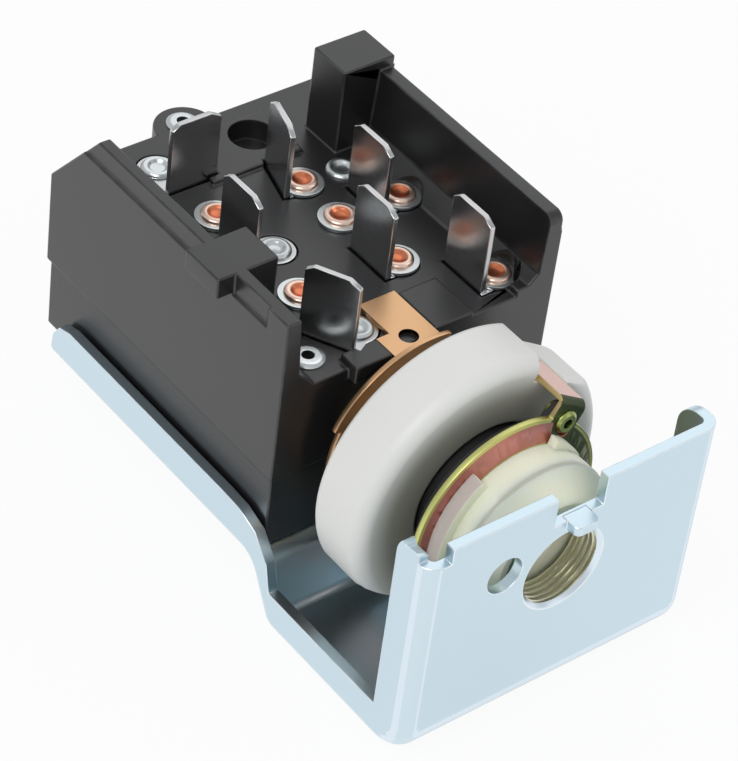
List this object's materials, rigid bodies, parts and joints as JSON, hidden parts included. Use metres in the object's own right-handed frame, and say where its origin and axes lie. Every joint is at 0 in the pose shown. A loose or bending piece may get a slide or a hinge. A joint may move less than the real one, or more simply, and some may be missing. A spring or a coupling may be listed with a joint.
{
  "type": "headlight switch",
  "caption": "Panel headlight switch: steel bracket with threaded collar, ceramic dimmer dial on a nylon hub, and a black contact case with spade blades on top.",
  "frame": {"origin": "on the axis of the bracket's threaded collar, in the plane of the front plate's inner face", "axes": "-Y leaves through the collar towards the panel and the knob, +Z is the side the blade terminals stand on, +X is to the right seen from the front"},
  "size_m": [0.0451, 0.0858, 0.0472],
  "materials": {
    "zinc_steel": "satin zinc plate",
    "black_plastic": "moulded, semi-gloss",
    "nylon": "moulded nylon, natural",
    "ceramic": "glazed steatite ceramic",
    "yellow_zinc_steel": "yellow chromate",
    "fibre": "black vulcanised fibre",
    "resistance_wire": "wound wire",
    "bronze": "phosphor bronze",
    "tinned_brass": "tin plated",
    "copper": "bright copper",
    "zinc": "zinc plate",
    "spring_steel": "hardened wire and strip",
    "slide_plastic": "moulded phenolic",
    "button_steel": "zinc plate"
  },
  "bodies": {
    "case": {"bracket": "zinc_steel", "terminal_block": "black_plastic", "lower_case": "black_plastic", "contact_plate": "bronze", "breaker_strip": "bronze", "terminal_1": "tinned_brass", "terminal_2": "tinned_brass", "terminal_3": "tinned_brass", "terminal_4": "tinned_brass", "terminal_5": "tinned_brass", "terminal_6": "tinned_brass", "terminal_7": "tinned_brass", "contact_rivets": "copper", "rivet_washers": "zinc", "plain_rivets": "zinc", "breaker_rivet": "zinc", "breaker_spacer": "zinc", "corner_eyelet": "zinc", "ear_rivet": "zinc", "floor_rivets": "zinc", "button_spring": "spring_steel"},
    "dimmer": {"hub": "nylon", "spacer_sleeve": "fibre", "dial": "ceramic", "retainer_ring": "yellow_zinc_steel", "arm_eyelets": "yellow_zinc_steel", "fibre_washer": "fibre", "resistance_coil": "resistance_wire", "hub_clip": "spring_steel"},
    "slide_carrier": {"slide": "slide_plastic", "contact_bridges": "bronze", "bridge_springs": "spring_steel", "detent_ball": "spring_steel", "detent_spring": "spring_steel", "shaft_latch": "spring_steel"},
    "button": {"release_button": "button_steel", "button_clip": "spring_steel"}
  },
  "joints": [
    {"name": "dimmer_turn", "type": "hinge", "parent": "case", "child": "dimmer", "pos_m": [0, 0.02, 0], "axis": [0, 1, 0], "range_deg": [-150, 150]},
    {"name": "slide_pull", "type": "slide", "parent": "case", "child": "slide_carrier", "axis": [0, -1, 0], "range_m": [0, 0.0125]},
    {"name": "button_press", "type": "slide", "parent": "case", "child": "button", "axis": [0, 0, 1], "range_m": [0, 0.002], "stiffness_N_per_m": 300, "springref_m": -0.003, "deforming": ["button_spring"]}
  ]
}
